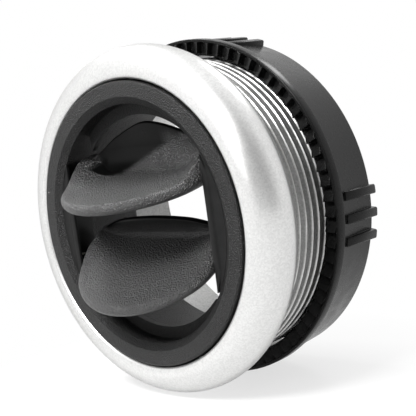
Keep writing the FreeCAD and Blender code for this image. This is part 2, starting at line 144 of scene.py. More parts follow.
def specks(tree, position, spacing_mm, radius_mm, share):
    """One on scattered round specks: near a cell's point, in the given share of the cells."""
    cells = add(tree, "ShaderNodeTexVoronoi",
                {"Vector": position, "Scale": 1.0 / (spacing_mm * MM)}, feature="F1")
    near = add(tree, "ShaderNodeMath",
               {0: cells.outputs["Distance"], 1: radius_mm / spacing_mm}, 0, operation="LESS_THAN")
    chosen = add(tree, "ShaderNodeMath",
                 {0: cells.outputs["Color"], 1: share}, 0, operation="LESS_THAN")
    return add(tree, "ShaderNodeMath", {0: near, 1: chosen}, 0, operation="MULTIPLY")


def grain_bump(tree, position, grain_mm, depth_mm, edge_mm):
    """Moulding grain: rounded cells of grain_mm plus finer noise, over edges rounded by edge_mm.

    Gives back the bumped normal and the finer noise.
    """
    rounded = add(tree, "ShaderNodeBevel", {"Radius": edge_mm * MM}, "Normal", samples=6)
    cells = add(tree, "ShaderNodeTexVoronoi",
                {"Vector": position, "Scale": 1.0 / (grain_mm * MM), "Smoothness": 0.6},
                "Distance", feature="SMOOTH_F1")
    fine = add(tree, "ShaderNodeTexNoise",
               {"Vector": position, "Scale": 1.0 / (grain_mm * 0.6 * MM), "Detail": 2.0}, "Fac")
    height = add(tree, "ShaderNodeMath", {0: cells, 1: fine}, 0, operation="ADD")
    bump = add(tree, "ShaderNodeBump",
               {"Strength": 1.0, "Distance": depth_mm * MM, "Height": height, "Normal": rounded},
               "Normal")
    return bump, fine


def black_plastic(name, colour, rough, gloss, grain_mm, depth_mm, edge_mm, patched=False):
    """ABS moulded in a spark-eroded tool, with a grain that breaks up its soft sheen.

    Broad faint clouds and a few pale specks of dust keep the black from looking flat. Where
    patched, the attribute polish_and_painted_shadow blends from the grain to a smoother, darker
    black that mirrors less of the room and so looks deeper: on the lower blade's web it is a band
    off polished steel, on the upper blade a painted shadow of the ring's rim.
    """
    material, tree, position = new_material(name)
    normal, fine = grain_bump(tree, position, grain_mm, depth_mm, edge_mm)
    clouds = add(tree, "ShaderNodeTexNoise",
                 {"Vector": position, "Scale": 1.0 / (7.0 * MM), "Detail": 3.0}, "Fac")
    cloud_share = add(tree, "ShaderNodeMapRange",
                      {"Value": clouds, "From Min": 0.35, "From Max": 0.7, "To Max": 0.35},
                      "Result")
    base = add(tree, "ShaderNodeMix",
               {FACTOR: cloud_share, COLOUR_A: colour, COLOUR_B: linear("#1c1c1c")},
               COLOUR_OUT, data_type="RGBA")
    dust = specks(tree, position, spacing_mm=4.0, radius_mm=0.16, share=0.42)
    dusty = add(tree, "ShaderNodeMix", {FACTOR: dust, COLOUR_A: base, COLOUR_B: linear("#a8a8a4")},
                COLOUR_OUT, data_type="RGBA")
    grained_rough = add(tree, "ShaderNodeMapRange",
                        {"Value": fine, "From Min": 0.3, "From Max": 0.7,
                         "To Min": rough - 0.08, "To Max": rough + 0.1}, "Result")
    surface = add(tree, "ShaderNodeBsdfPrincipled",
                  {"Base Color": dusty, "Roughness": grained_rough, "Normal": normal,
                   "Specular IOR Level": gloss}, "BSDF")
    if patched:
        # Smoother, darker black with little sheen: polish on the lower blade's web, a painted
        # shadow of the ring's rim on the upper blade
        rounded = add(tree, "ShaderNodeBevel", {"Radius": edge_mm * MM}, "Normal", samples=6)
        polished_rough = add(tree, "ShaderNodeMapRange",
                             {"Value": clouds, "From Min": 0.3, "From Max": 0.7,
                              "To Min": 0.26, "To Max": 0.36}, "Result")
        polished = add(tree, "ShaderNodeBsdfPrincipled",
                       {"Base Color": linear("#060606"), "Roughness": polished_rough,
                        "Normal": rounded, "Specular IOR Level": 0.12}, "BSDF")
        share = add(tree, "ShaderNodeAttribute", output="Fac", attribute_name="polish_and_painted_shadow")
        surface = add(tree, "ShaderNodeMixShader", {0: share, 1: surface, 2: polished}, 0)
    add(tree, "ShaderNodeOutputMaterial", {"Surface": surface})
    return material


def silver_paint(name, colour, rough):
    """Silver paint sprayed on moulded ABS: metal flakes under a satin coat.

    The flakes turn the sheen into one soft wide highlight and glitter faintly. The attribute
    thin_paint_and_shade turns it to a duller, darker grey for the thinner spray and for painted
    shade, on the sleeve between the thread's crests and in the bore. Real flakes are far under
    0.1 mm: they are drawn at 0.3 mm, and the coat's orange peel at 0.45 mm, so that both show.
    """
    material, tree, position = new_material(name)
    thin_and_shaded = add(tree, "ShaderNodeAttribute", output="Fac", attribute_name="thin_paint_and_shade")
    flakes = add(tree, "ShaderNodeTexVoronoi",
                 {"Vector": position, "Scale": 1.0 / (0.3 * MM)}, "Color", feature="F1")
    flake_tone = add(tree, "ShaderNodeMapRange",
                     {"Value": flakes, "From Min": 0.2, "From Max": 0.8, "To Max": 0.4}, "Result")
    thick_paint = add(tree, "ShaderNodeMix",
                      {FACTOR: flake_tone, COLOUR_A: colour, COLOUR_B: linear("#c2c2c1")},
                      COLOUR_OUT, data_type="RGBA")
    # Darker grey of thin spray that also stands for painted shade
    thin_paint_and_shade = add(tree, "ShaderNodeMix",
                     {FACTOR: flake_tone, COLOUR_A: linear("#9a9a99"), COLOUR_B: linear("#606060")},
                     COLOUR_OUT, data_type="RGBA")
    paint = add(tree, "ShaderNodeMix",
                {FACTOR: thin_and_shaded, COLOUR_A: thick_paint, COLOUR_B: thin_paint_and_shade},
                COLOUR_OUT, data_type="RGBA")
    dirt = specks(tree, position, spacing_mm=7.0, radius_mm=0.2, share=0.45)
    dirty = add(tree, "ShaderNodeMix", {FACTOR: dirt, COLOUR_A: paint, COLOUR_B: linear("#77777a")},
                COLOUR_OUT, data_type="RGBA")
    clouds = add(tree, "ShaderNodeTexNoise",
                 {"Vector": position, "Scale": 1.0 / (6.0 * MM), "Detail": 2.0}, "Fac")
    cloudy_rough = add(tree, "ShaderNodeMapRange",
                       {"Value": clouds, "From Min": 0.3, "From Max": 0.7,
                        "To Min": rough - 0.015, "To Max": rough + 0.015}, "Result")
    duller_rough = add(tree, "ShaderNodeMath",
                       {0: thin_and_shaded, 1: 0.2, 2: cloudy_rough}, 0, operation="MULTIPLY_ADD")
    peel = add(tree, "ShaderNodeTexNoise",
               {"Vector": position, "Scale": 1.0 / (0.45 * MM), "Detail": 2.0}, "Fac")
    rounded = add(tree, "ShaderNodeBevel", {"Radius": 0.12 * MM}, "Normal", samples=6)
    bump = add(tree, "ShaderNodeBump",
               {"Strength": 0.5, "Distance": 0.01 * MM, "Height": peel, "Normal": rounded},
               "Normal")
    surface = add(tree, "ShaderNodeBsdfPrincipled", {
        "Base Color": dirty,
        "Metallic": 0.8,
        "Specular Tint": (0.55, 0.55, 0.55, 1.0),
        "Roughness": duller_rough,
        "Normal": bump,
        "Coat Weight": 0.1,
        "Coat Roughness": 0.3,
    }, "BSDF")
    add(tree, "ShaderNodeOutputMaterial", {"Surface": surface})
    return material


def plain_moulding(name, colour, rough, gloss=0.3):
    """Plastic or rubber off smooth steel: an even sheen with faint flow marks, edges softened."""
    material, tree, position = new_material(name)
    flow = add(tree, "ShaderNodeTexNoise",
               {"Vector": position, "Scale": 1.0 / (3.0 * MM), "Detail": 3.0}, "Fac")
    mark_share = add(tree, "ShaderNodeMapRange",
                     {"Value": flow, "From Min": 0.3, "From Max": 0.7, "To Max": 0.3}, "Result")
    base = add(tree, "ShaderNodeMix",
               {FACTOR: mark_share, COLOUR_A: colour, COLOUR_B: linear("#222222")},
               COLOUR_OUT, data_type="RGBA")
    marked_rough = add(tree, "ShaderNodeMapRange",
                       {"Value": flow, "From Min": 0.3, "From Max": 0.7,
                        "To Min": rough - 0.05, "To Max": rough + 0.05}, "Result")
    rounded = add(tree, "ShaderNodeBevel", {"Radius": 0.15 * MM}, "Normal", samples=6)
    surface = add(tree, "ShaderNodeBsdfPrincipled",
                  {"Base Color": base, "Roughness": marked_rough, "Normal": rounded,
                   "Specular IOR Level": gloss}, "BSDF")
    add(tree, "ShaderNodeOutputMaterial", {"Surface": surface})
    return material


def dress(node, material):
    """Give a CAD node its finish."""
    piece = frame["nodes"][node]
    piece.data.materials.clear()
    piece.data.materials.append(material)


def rounded_outline(corners, steps):
    """Closed outline with each corner turned into an arc of the given number of points.

    A corner is (x, y, rounding). The arc starts and ends rounding / tan(half the corner's angle)
    from the corner, about the centre on the corner's bisector.
    """
    corners = np.array(corners, float)
    points, roundings = corners[:, :2], corners[:, 2:]
    to_last = np.roll(points, 1, 0) - points
    to_next = np.roll(points, -1, 0) - points
    to_last /= np.linalg.norm(to_last, axis=1, keepdims=True)
    to_next /= np.linalg.norm(to_next, axis=1, keepdims=True)
    half = np.arccos(np.clip((to_last * to_next).sum(1, keepdims=True), -1, 1)) / 2
    bisector = to_last + to_next
    bisector /= np.linalg.norm(bisector, axis=1, keepdims=True)
    centres = points + bisector * roundings / np.sin(half)
    first = points + to_last * roundings / np.tan(half) - centres
    last = points + to_next * roundings / np.tan(half) - centres
    share = np.linspace(0, 1, steps)[None, :, None]
    chord = first[:, None] * (1 - share) + last[:, None] * share
    arcs = chord / np.linalg.norm(chord, axis=2, keepdims=True) * roundings[:, None]
    return (centres[:, None] + arcs).reshape(-1, 2)


def arc(centre, radius, start, end, steps):
    """Points (radius, depth) on a circle from one angle to another, in degrees."""
    turn = np.radians(np.linspace(start, end, steps))
    return np.stack([centre[0] + radius * np.cos(turn), centre[1] + radius * np.sin(turn)], -1)


def about_axis(radii, depths, angles):
    """Points at radii from the vent's axis and at depths behind the swivel ring's face."""
    radii, depths, angles = np.broadcast_arrays(radii, depths, angles)
    return np.stack([radii * np.cos(angles), depths - SEAT_DEPTH, radii * np.sin(angles)], -1)


def shell(points, closed_rows=False):
    """Vertices, quads and triangles of a grid of points, with the faces pointing outwards.

    Columns always close round. Rows close round too, or end in a fan about the row's middle.
    """
    rows, columns = points.shape[:2]
    index = np.arange(rows * columns).reshape(rows, columns)
    span = rows if closed_rows else rows - 1
    near, far = index[:span], np.roll(index, -1, 0)[:span]
    quads = np.stack([near, far, np.roll(far, -1, 1), np.roll(near, -1, 1)], -1).reshape(-1, 4)
    vertices = points.reshape(-1, 3)
    triangles = np.zeros((0, 3), int)
    if not closed_rows:
        middles = points[[0, -1]].mean(1)
        start, end = rows * columns, rows * columns + 1
        front = np.stack([np.full(columns, start), index[0], np.roll(index[0], -1)], -1)
        back = np.stack([np.full(columns, end), np.roll(index[-1], -1), index[-1]], -1)
        triangles = np.concatenate([front, back])
        vertices = np.concatenate([vertices, middles])
    return face_outwards(vertices, quads, triangles)


def face_outwards(vertices, quads, triangles):
    """Turn every face round where the shell's signed volume is negative."""
    halves = np.concatenate([quads[:, :3], quads[:, [0, 2, 3]], triangles])
    one, two, three = (vertices[halves[:, corner]] for corner in range(3))
    if (one * np.cross(two, three)).sum() < 0:
        quads, triangles = quads[:, ::-1], triangles[:, ::-1]
    return vertices, quads, triangles


def make_piece(node, shells, material, share_name=None, share=None):
    """One object from several closed shells, in place of a CAD node and riding on its body.

    Share is a number for each vertex, kept as the attribute share_name for the material.
    """
    starts = np.cumsum([0] + [len(part[0]) for part in shells])
    vertices = np.concatenate([part[0] for part in shells]) * MM
    faces = []
    for start, (_, quads, triangles) in zip(starts, shells):
        faces += (quads + start).tolist()
        faces += (triangles + start).tolist()
    mesh = bpy.data.meshes.new(f"fine_{node}")
    mesh.from_pydata(vertices.tolist(), [], faces)
    mesh.shade_smooth()
    mesh.set_sharp_from_angle(angle=math.radians(SHARP_ANGLE))
    if share_name:
        attribute = mesh.attributes.new(share_name, "FLOAT", "POINT")
        attribute.data.foreach_set("value", share.astype(np.float32))
    mesh.materials.append(material)
    piece = bpy.data.objects.new(f"fine_{node}", mesh)
    bpy.context.scene.collection.objects.link(piece)
    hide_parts(node)
    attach(piece, NODE_BODIES[node])


def bezel_shell(crest_height):
    """Silver moulding as one closed grid, and for each point how thin and how shaded its paint is.

    Its outline of (radius, depth) goes round the lip, the rim's large arc, the seat, the sleeve,
    the spigot and the bore. On the sleeve the radius grows by a rounded ridge, a bell curve of the
    distance to the nearest crest. Crests lie where the depth less one pitch per turn is a whole
    number of pitches, which makes the thread a true helix. It fades out towards both its ends.
    The paint is thin, and darkened as painted shade, on the sleeve away from the crests and in the
    bore.
    """
    lip = arc((31.2, 1.15), radius=1.05, start=180, end=270, steps=8)
    rim = arc((31.2, 5.8), radius=5.7, start=-90, end=57.4, steps=44)[1:]
    steps = 5
    behind_rim = rounded_outline([
        (34.27, 10.6, 0.05),                                            # rim's end, left out
        (33.1, 10.6, 0.2), (33.1, 12.0, 0.12), (SLEEVE_RADIUS, 12.35, 0.15),      # seat, collar
        (SLEEVE_RADIUS, 33.4, 0.2), (31.0, 33.8, 0.25),                           # sleeve's end
        (31.0, 36.6, 0.15), (30.6, 37.0, 0.15), (29.0, 37.0, 0.2),                # spigot
        (28.4, 8.3, 0.1), (27.3, 8.3, 0.15), (27.3, 6.3, 0.15), (30.15, 6.3, 0.1),  # bore, rib
        (30.15, 3.0, 0.05),                                             # lip's start, left out
    ], steps)
    seat = behind_rim[steps:4 * steps]
    bore = behind_rim[4 * steps:13 * steps]
    sleeve_depths = np.arange(THREAD_START, THREAD_END, 0.1)
    sleeve = np.stack([np.full_like(sleeve_depths, SLEEVE_RADIUS), sleeve_depths], -1)
    profile = np.concatenate([lip, rim, seat, sleeve, bore])
    first = len(lip) + len(rim) + len(seat)
    on_sleeve = np.zeros((len(profile), 1))
    on_sleeve[first:first + len(sleeve)] = 1.0

    angles = np.linspace(0, 2 * np.pi, 300, endpoint=False)[None]
    radii, depths = profile[:, :1], profile[:, 1:]
    phase = (depths - THREAD_PITCH * angles / (2 * np.pi)) / THREAD_PITCH
    from_crest = np.abs(phase - np.round(phase)) * THREAD_PITCH
    ridge = np.exp(-(from_crest / CREST_WIDTH) ** 2)
    run_out = (np.clip((depths - THREAD_START) / THREAD_RUN_OUT, 0, 1)
               * np.clip((THREAD_END - depths) / THREAD_RUN_OUT, 0, 1))
    in_bore = (radii < 30.5) & (depths > 8.0)
    # Thin paint and painted shade: darker grey on the sleeve away from the crests and in the bore
    thin_and_shaded = np.clip(on_sleeve - 1.2 * ridge + in_bore, 0, 1)
    radii = radii + crest_height * ridge * run_out * on_sleeve
    return shell(about_axis(radii, depths, angles), closed_rows=True), thin_and_shaded.ravel()


def nut_shells():
    """Ring nut: a closed grid about the axis, and twelve grip ribs let into its wall.

    The crown's depth is a sawtooth of the angle: a tooth stands 1.35 mm high just after the start
    of its five-degree step and leans down to nothing over the rest of it.
    """
    share = np.array([0.0, 0.05, 0.3, 0.55, 0.8, 0.89, 0.93])
    rise = np.array([0.0, 1.35, 1.05, 0.7, 0.3, 0.05, 0.0])
    step = 2 * np.pi / TOOTH_COUNT
    angles = (np.arange(TOOTH_COUNT)[:, None] * step + share[None] * step).ravel()
    angles -= math.radians(NUT_TURN) + math.radians(CROWN_TURN)
    steps = 4
    outline = rounded_outline([
        (33.4, 34.2, 0.2), (33.4, 21.4, 0.15),                          # bore
        (36.3, 21.4, 0.02),                                             # left out for the crown
        (36.3, 20.5, 0.12), (37.0, 20.5, 0.2), (37.0, 22.7, 0.2),       # outer lip
        (36.35, 22.75, 0.15), (35.5, 33.7, 0.2), (35.0, 34.2, 0.2),     # wall
    ], steps)
    bore, wall = outline[:2 * steps], outline[3 * steps:]
    crown = np.array([(33.85, 21.4), (33.9, 21.35), (33.95, 21.35), (34.6, 21.35),
                      (35.4, 21.35), (36.2, 21.35), (36.26, 21.3)])
    crown_share = np.array([0.0, 0.9, 1.0, 1.0, 1.0, 1.0, 0.95])
    profile = np.concatenate([bore, crown, wall])
    raised = np.concatenate([np.zeros(len(bore)), crown_share, np.zeros(len(wall))])[:, None]
    depths = profile[:, 1:] - raised * np.tile(rise, TOOTH_COUNT)
    body = shell(about_axis(profile[:, :1], depths, angles[None]), closed_rows=True)
    return [body, *grip_ribs()]


def grip_ribs():
    """Grip ribs: bars with rounded long edges and ends, in groups of three along the nut's wall.

    The section of (radius, place across) draws in towards both ends and is turned about the axis.
    """
    half_width = 0.95
    section = rounded_outline([(34.5, -half_width, 0.1), (36.72, -half_width, 0.3),
                               (36.72, half_width, 0.3), (34.5, half_width, 0.1)], 5)
    depths = np.array([24.0, 24.05, 24.3, 33.9, 34.15, 34.2])[:, None]
    inset = np.array([0.3, 0.12, 0.0, 0.0, 0.12, 0.3])[:, None]
    radii = section[:, 0] - inset * (section[:, 0] > 36.0)
    across = section[:, 1] * (1 - inset / half_width)
    ribs = []
    for centre in (0.0, 85.2, 180.0, 265.2):
        for number in (-1, 0, 1):
            turn = math.radians(centre + number * RIB_STEP - NUT_TURN)
            ribs.append(shell(np.stack([
                radii * math.cos(turn) - across * math.sin(turn),
                np.broadcast_to(depths - SEAT_DEPTH, radii.shape),
                radii * math.sin(turn) + across * math.cos(turn)], -1)))
    return ribs


def soft_smallest(parts, power):
    """Smallest of several positive arrays, with the change from one to the next rounded off."""
    return sum(part ** -power for part in parts) ** (-1 / power)


def side_lift(across, lift):
    """Rise of a plate's top, with the square of the distance beyond LIFT_START from the middle."""
    return lift * np.clip((np.abs(across) - LIFT_START) / LIFT_WIDTH, 0, 1) ** 2


def plate_points(lift):
    """Blade plate: the outline scaled towards its middle, closed by a rounded edge.

    Along each ray from a point on the centre line the outline is the soft smallest of the nose's
    circle, the straight sides and the tail. The edge is an ellipse as high as the plate. The top
    rises towards the sides by side_lift, and the rise fades out smoothly towards the nose.
    """
    turn = np.linspace(0, 2 * np.pi, 240, endpoint=False)
    cosine, sine = np.cos(turn), np.sin(turn)
    nose_offset, nose_radius, half_width, tail_reach = 11.9, 24.8, 20.4, 9.6
    nose = nose_offset * sine + np.sqrt(nose_radius ** 2 - (nose_offset * cosine) ** 2)
    side = half_width / np.maximum(np.abs(cosine), 1e-3)
    tail = tail_reach / np.maximum(sine, 1e-3)
    reach = soft_smallest([nose, side, tail], 14.0)
    edge = np.radians(np.linspace(8, 172, 15))
    bulge = 1.25 * (1 - np.sin(edge))
    inner = np.array([0.02, 0.12, 0.25, 0.38, 0.5, 0.6, 0.68, 0.75, 0.81, 0.86, 0.9, 0.94])
    flat = 1 - PLATE_HALF_THICKNESS / reach
    scale = np.concatenate([inner[:, None] * flat, 1 - bulge[:, None] / reach,
                            inner[::-1, None] * flat])
    level = PLATE_HALF_THICKNESS * np.concatenate([
        np.ones(len(inner)), np.cos(edge), -np.ones(len(inner))])[:, None]
    u, v = scale * reach * cosine, scale * reach * sine - 2.0
    from_nose = np.clip((v + 6.5) / 9.0, 0, 1)
    fade = from_nose ** 2 * (3 - 2 * from_nose)
    on_top = np.clip(level / PLATE_HALF_THICKNESS, 0, 1)
    return np.stack([u, v, level + side_lift(u, lift) * fade * on_top], -1)


def web_points(top, face, fillet, lift):
    """Raised rear wall: one section for each place across the blade.

    Top and face are functions that give the wall's height and place at each point across. The
    section runs up a hollow of radius fillet from the plate to the wall's face, over the rounded
    top and down the back. Towards both ends the top comes down to the raised plate on a quarter
    of an ellipse.
    """
    half_span, end_start, end_width, half_wall = 19.3, 10.0, 9.32, 0.6
    across = np.sin(np.linspace(-np.pi / 2, np.pi / 2, 73)) * half_span
    ellipse = np.sqrt(1 - np.clip((np.abs(across) - end_start) / end_width, 0, 1) ** 2)
    plate_top = 1.0 + side_lift(across, lift)
    height = plate_top + (top(across) - plate_top) * ellipse + 0.15
    wall = face(across)[:, None]
    hollow = np.radians(np.linspace(0, 90, 12))
    hollow_radius = np.minimum(fillet, np.maximum(height - 1.9, 0.05))[:, None]
    hollow_v = wall - hollow_radius * (1 - np.sin(hollow))
    hollow_w = 1.25 + hollow_radius * (1 - np.cos(hollow))
    cap = np.radians(np.linspace(180, 0, 9))
    cap_v = wall + half_wall * (1 + np.cos(cap))
    cap_w = height[:, None] - half_wall * 0.6 * (1 - np.sin(cap))
    foot_v = wall + np.array([1.2, 1.2, -0.2, -1.0])
    foot_w = np.broadcast_to([1.2, 0.0, 0.0, 0.4], foot_v.shape)
    v = np.concatenate([hollow_v, cap_v, foot_v], 1)
    w = np.concatenate([hollow_w, cap_w, foot_w], 1)
    return np.stack([np.broadcast_to(across[:, None], v.shape), v, w], -1)


def upper_web_top(across):
    """A blunt ridge: a hyperbola that falls by up to 0.38 mm for each millimetre to the side."""
    return 10.6 - 0.38 * (np.sqrt(across ** 2 + 16.0) - 4.0)


def upper_web_face(across):
    """Straight in the middle, then forward by the square of the distance beyond 5 mm."""
    return WEB_FACE - 1.6 * np.clip((np.abs(across) - 5.0) / 13.0, 0, 1) ** 2


def lower_web_top(across):
    """A very flat arc, a parabola."""
    return 6.2 - across ** 2 / 160.0


def lower_web_face(across):
    """A straight wall."""
    return np.full_like(across, WEB_FACE)


def wing_points(side):
    """Side lug behind the pivot: its outline at six levels, drawn in at both faces."""
    outline = rounded_outline([(19.0, 1.4, 0.2), (21.9, 1.4, 0.3), (21.9, 3.4, 0.3),
                               (20.7, 4.6, 0.4), (19.0, 4.6, 0.2)], 4)
    middle = outline.mean(0)
    level = np.array([1.1, 1.07, 0.95, -0.95, -1.07, -1.1])[:, None]
    scale = np.array([0.85, 0.94, 1.0, 1.0, 0.94, 0.85])[:, None, None]
    u, v = np.moveaxis(middle + (outline - middle) * scale, -1, 0)
    return np.stack([u * side, v, np.broadcast_to(level, u.shape)], -1)


def rod_points(radius, half_length):
    """Round bar along X with a small chamfer at both ends."""
    turn = np.linspace(0, 2 * np.pi, 32, endpoint=False)
    chamfer = 0.2
    places = np.array([-half_length, chamfer - half_length, half_length - chamfer, half_length])
    radii = np.array([radius - chamfer, radius, radius, radius - chamfer])[:, None]
    x = np.broadcast_to(places[:, None], (len(places), len(turn)))
    return np.stack([x, radii * np.cos(turn), radii * np.sin(turn)], -1)


def make_blade(node, height, tilt, lift, web, patch, material):
    """A blade: plate, rear web, side lugs, hub and pins, turned to its tilt about its pivot.

    Patch is a function that says how smooth the plate and web are at each point, and on the upper
    blade how deep its painted shadow is. The rest is smooth all over.
    """
    patched = [plate_points(lift), web]
    hub = rod_points(radius=1.25, half_length=21.9)
    pins = rod_points(radius=1.0, half_length=23.9)
    turn = math.radians(tilt)
    shells, smooth = [], []
    for grid in [*patched, wing_points(1), wing_points(-1), hub, pins]:
        u, v, w = np.moveaxis(grid, -1, 0)
        has_patch = len(shells) < len(patched)
        smooth.append(patch(u, v, w, lift).ravel() if has_patch else np.ones(u.size))
        shells.append(shell(np.stack([
            u,
            v * math.cos(turn) - w * math.sin(turn) + PIVOT_DEPTH - SEAT_DEPTH,
            v * math.sin(turn) + w * math.cos(turn) + height], -1)))
        smooth.append(np.ones(len(shells[-1][0]) - u.size))
    # The share carries the polish of the lower web and the painted shadow on the upper blade
    make_piece(node, shells, material, "polish_and_painted_shadow", np.concatenate(smooth))


def upper_painted_shadow(u, v, w, lift):
    """Painted shadow of the ring's rim: one behind the pivot and above a line that climbs to the
    right, zero near the left end.
    """
    above = (w - 0.37 * u - 3.3) / 1.1
    inward = (u + 17.2) / 1.6
    return np.clip(np.minimum(above, inward), 0, 1) * (v > 1.0)


def lower_patch(u, v, w, lift):
    """One on the web, a little above the plate; else zero."""
    return np.clip((w - 2.2 - side_lift(u, lift)) * 1.2, 0, 1) * (v > 5.0)


def cheek_shell(side):
    """Cheek: one section for each height, between the straight edge and the ring's bore.

    The section is a low rounded strip along the straight edge, the land behind it, the arc's side
    and the wall set back for the blades' lugs. Near the tips the strip narrows with the cheek.
    """
    half_height, bore_radius, wall_place, strip_room = 13.5, 25.05, 22.5, 2.4
    heights = np.sin(np.linspace(-np.pi / 2, np.pi / 2, 61))[:, None] * half_height
    outer = np.sqrt(bore_radius ** 2 - heights ** 2)
    narrow = np.minimum(1.0, (outer - CHEEK_CHORD) / strip_room)
    strip = np.array([[0.0, 1.5], [0.0, 1.02], [0.07, 0.87], [0.25, 0.8], [1.15, 0.8],
                      [1.32, 0.83], [1.5, 0.98], [1.68, 1.12], [1.9, 1.15]])
    strip_x = CHEEK_CHORD + strip[:, 0] * narrow
    strip_depth = np.broadcast_to(strip[:, 1], strip_x.shape)
    wall = np.minimum(wall_place, outer - 0.28)
    behind_x = np.concatenate([outer, outer, wall, wall], 1)
    behind_depth = np.broadcast_to([1.15, 7.0, 7.0, 1.5], behind_x.shape)
    x = np.concatenate([strip_x, behind_x], 1) * side
    depth = np.concatenate([strip_depth, behind_depth], 1) - SEAT_DEPTH
    return shell(np.stack([x, depth, np.broadcast_to(heights, x.shape)], -1))


class VentSettings(bpy.types.PropertyGroup):
    """Colours and sizes that a user would change"""

    silver: bpy.props.FloatVectorProperty(
        name="Silver", description="Paint on the bezel",
        subtype="COLOR", size=4, min=0.0, max=1.0, default=linear("#e3e3e2"))
    black: bpy.props.FloatVectorProperty(
        name="Black", description="Grained plastic of the swivel ring and the blades",
        subtype="COLOR", size=4, min=0.0, max=1.0, default=linear("#101010"))
    nut_black: bpy.props.FloatVectorProperty(
        name="Nut black", description="Smooth plastic of the ring nut",
        subtype="COLOR", size=4, min=0.0, max=1.0, default=linear("#0d0d0d"))
    thread_height: bpy.props.FloatProperty(
        name="Thread height", description="How far the thread stands out of the sleeve",
        unit="LENGTH", min=0.0, max=0.7 * MM, default=0.36 * MM)
    ring_grain: bpy.props.FloatProperty(
        name="Ring grain", description="Width of the grain on the swivel ring",
        unit="LENGTH", min=0.05 * MM, default=0.28 * MM)
    blade_grain: bpy.props.FloatProperty(
        name="Blade grain", description="Width of the grain on the blades",
        unit="LENGTH", min=0.05 * MM, default=0.32 * MM)
    upper_lift: bpy.props.FloatProperty(
        name="Upper blade lift", description="Rise of the upper blade's plate at its sides",
        unit="LENGTH", min=0.0, max=4.6 * MM, default=4.6 * MM)
    lower_lift: bpy.props.FloatProperty(
        name="Lower blade lift", description="Rise of the lower blade's plate at its sides",
        unit="LENGTH", min=0.0, max=2.2 * MM, default=2.2 * MM)


class VENT_OT_bezel(bpy.types.Operator):
    """Silver bezel with its threaded sleeve"""

    bl_idname = "vent.bezel"
    bl_label = "Bezel"

    def execute(self, context):
        settings = context.scene.vent_settings
        bezel, thin_and_shaded = bezel_shell(settings.thread_height / MM)
        # ABS under a sprayed silver paint: a satin metal look with one soft highlight, no mirror
        paint = silver_paint("silver_painted_abs", settings.silver, rough=0.3)
        # The sleeve and the bore get a darker grey: thinner spray and painted shade
        make_piece("bezel", [bezel], paint, "thin_paint_and_shade", thin_and_shaded)
        return {"FINISHED"}


class VENT_OT_ring(bpy.types.Operator):
    """Swivel ring, cheeks and the small pieces behind them"""

    bl_idname = "vent.ring"
    bl_label = "Swivel ring"

    def execute(self, context):
        settings = context.scene.vent_settings
        # Grained ABS: a satin black that greys softly where it faces the light. The real grain is
        # about 0.25 mm wide, here and on the blades, and is drawn a little coarser so that it shows
        grained = black_plastic("grained_abs_ring", settings.black, rough=0.38, gloss=0.4,
                                grain_mm=settings.ring_grain / MM, depth_mm=0.22, edge_mm=0.25)
        dress("swivel_ring", grained)
        # ABS off polished steel: even and darker than the grain beside it, with a clear edge line
        cheek = plain_moulding("smooth_abs_cheek", linear("#0c0c0c"), rough=0.36, gloss=0.2)
        make_piece("left_cheek", [cheek_shell(-1)], cheek)
        make_piece("right_cheek", [cheek_shell(1)], cheek)
        # Unpigmented acetal: milky and waxy
        acetal = plain_moulding("natural_acetal_bush", linear("#c8c6bd"), rough=0.4)
        for node in ("upper_left_bush", "upper_right_bush", "lower_left_bush", "lower_right_bush"):
            dress(node, acetal)
        # Moulded rubber: dull and nearly black
        rubber = plain_moulding("moulded_rubber_ring", linear("#1a1a1a"), rough=0.7)
        dress("friction_ring", rubber)
        # Moulded nylon: dark grey with a slight sheen
        nylon = plain_moulding("moulded_nylon_ring", linear("#202020"), rough=0.5)
        dress("retaining_ring", nylon)
        return {"FINISHED"}


class VENT_OT_blades(bpy.types.Operator):
    """Two tilting blades"""

    bl_idname = "vent.blades"
    bl_label = "Blades"

    def execute(self, context):
        settings = context.scene.vent_settings
        # Grained ABS with more gloss than the ring's: its faces catch the lamp and glitter. The
        # patch
        # is a deep, calm black: off polished steel on the lower web, a painted shadow on the upper
        # blade
        grained = black_plastic("grained_abs_blade", settings.black, rough=0.32, gloss=1.0,
                                grain_mm=settings.blade_grain / MM, depth_mm=0.3, edge_mm=0.1,
                                patched=True)
        lift = settings.upper_lift / MM
        web = web_points(upper_web_top, upper_web_face, fillet=4.5, lift=lift)
        # The upper blade's patch is a painted shadow of the ring's rim
        make_blade("upper_blade", UPPER_HEIGHT, UPPER_TILT, lift, web, upper_painted_shadow, grained)
        lift = settings.lower_lift / MM
        web = web_points(lower_web_top, lower_web_face, fillet=1.3, lift=lift)
        make_blade("lower_blade", LOWER_HEIGHT, LOWER_TILT, lift, web, lower_patch, grained)
        return {"FINISHED"}


class VENT_OT_nut(bpy.types.Operator):
    """Ring nut with its crown of teeth"""

    bl_idname = "vent.nut"
    bl_label = "Ring nut"

    def execute(self, context):
        settings = context.scene.vent_settings
        # ABS off smooth steel, unpainted: black with thin bright lines only along its edges
        smooth = plain_moulding("glossy_abs_nut", settings.nut_black, rough=0.27, gloss=0.14)
        make_piece("clamp_nut", nut_shells(), smooth)
        return {"FINISHED"}


def camera_axes():
    """Right, up and backward directions of the camera, in the vent's frame."""
    sine, cosine = math.sin(VIEW_AZIMUTH), math.cos(VIEW_AZIMUTH)
    level = math.cos(VIEW_ELEVATION)
    backward = Vector((sine * level, -cosine * level, math.sin(VIEW_ELEVATION)))
    right = Vector((cosine, sine, 0.0))
    up = backward.cross(right)
    turn = Matrix.Rotation(VENT_TURN, 3, "Y")
    return turn @ right, turn @ up, turn @ backward


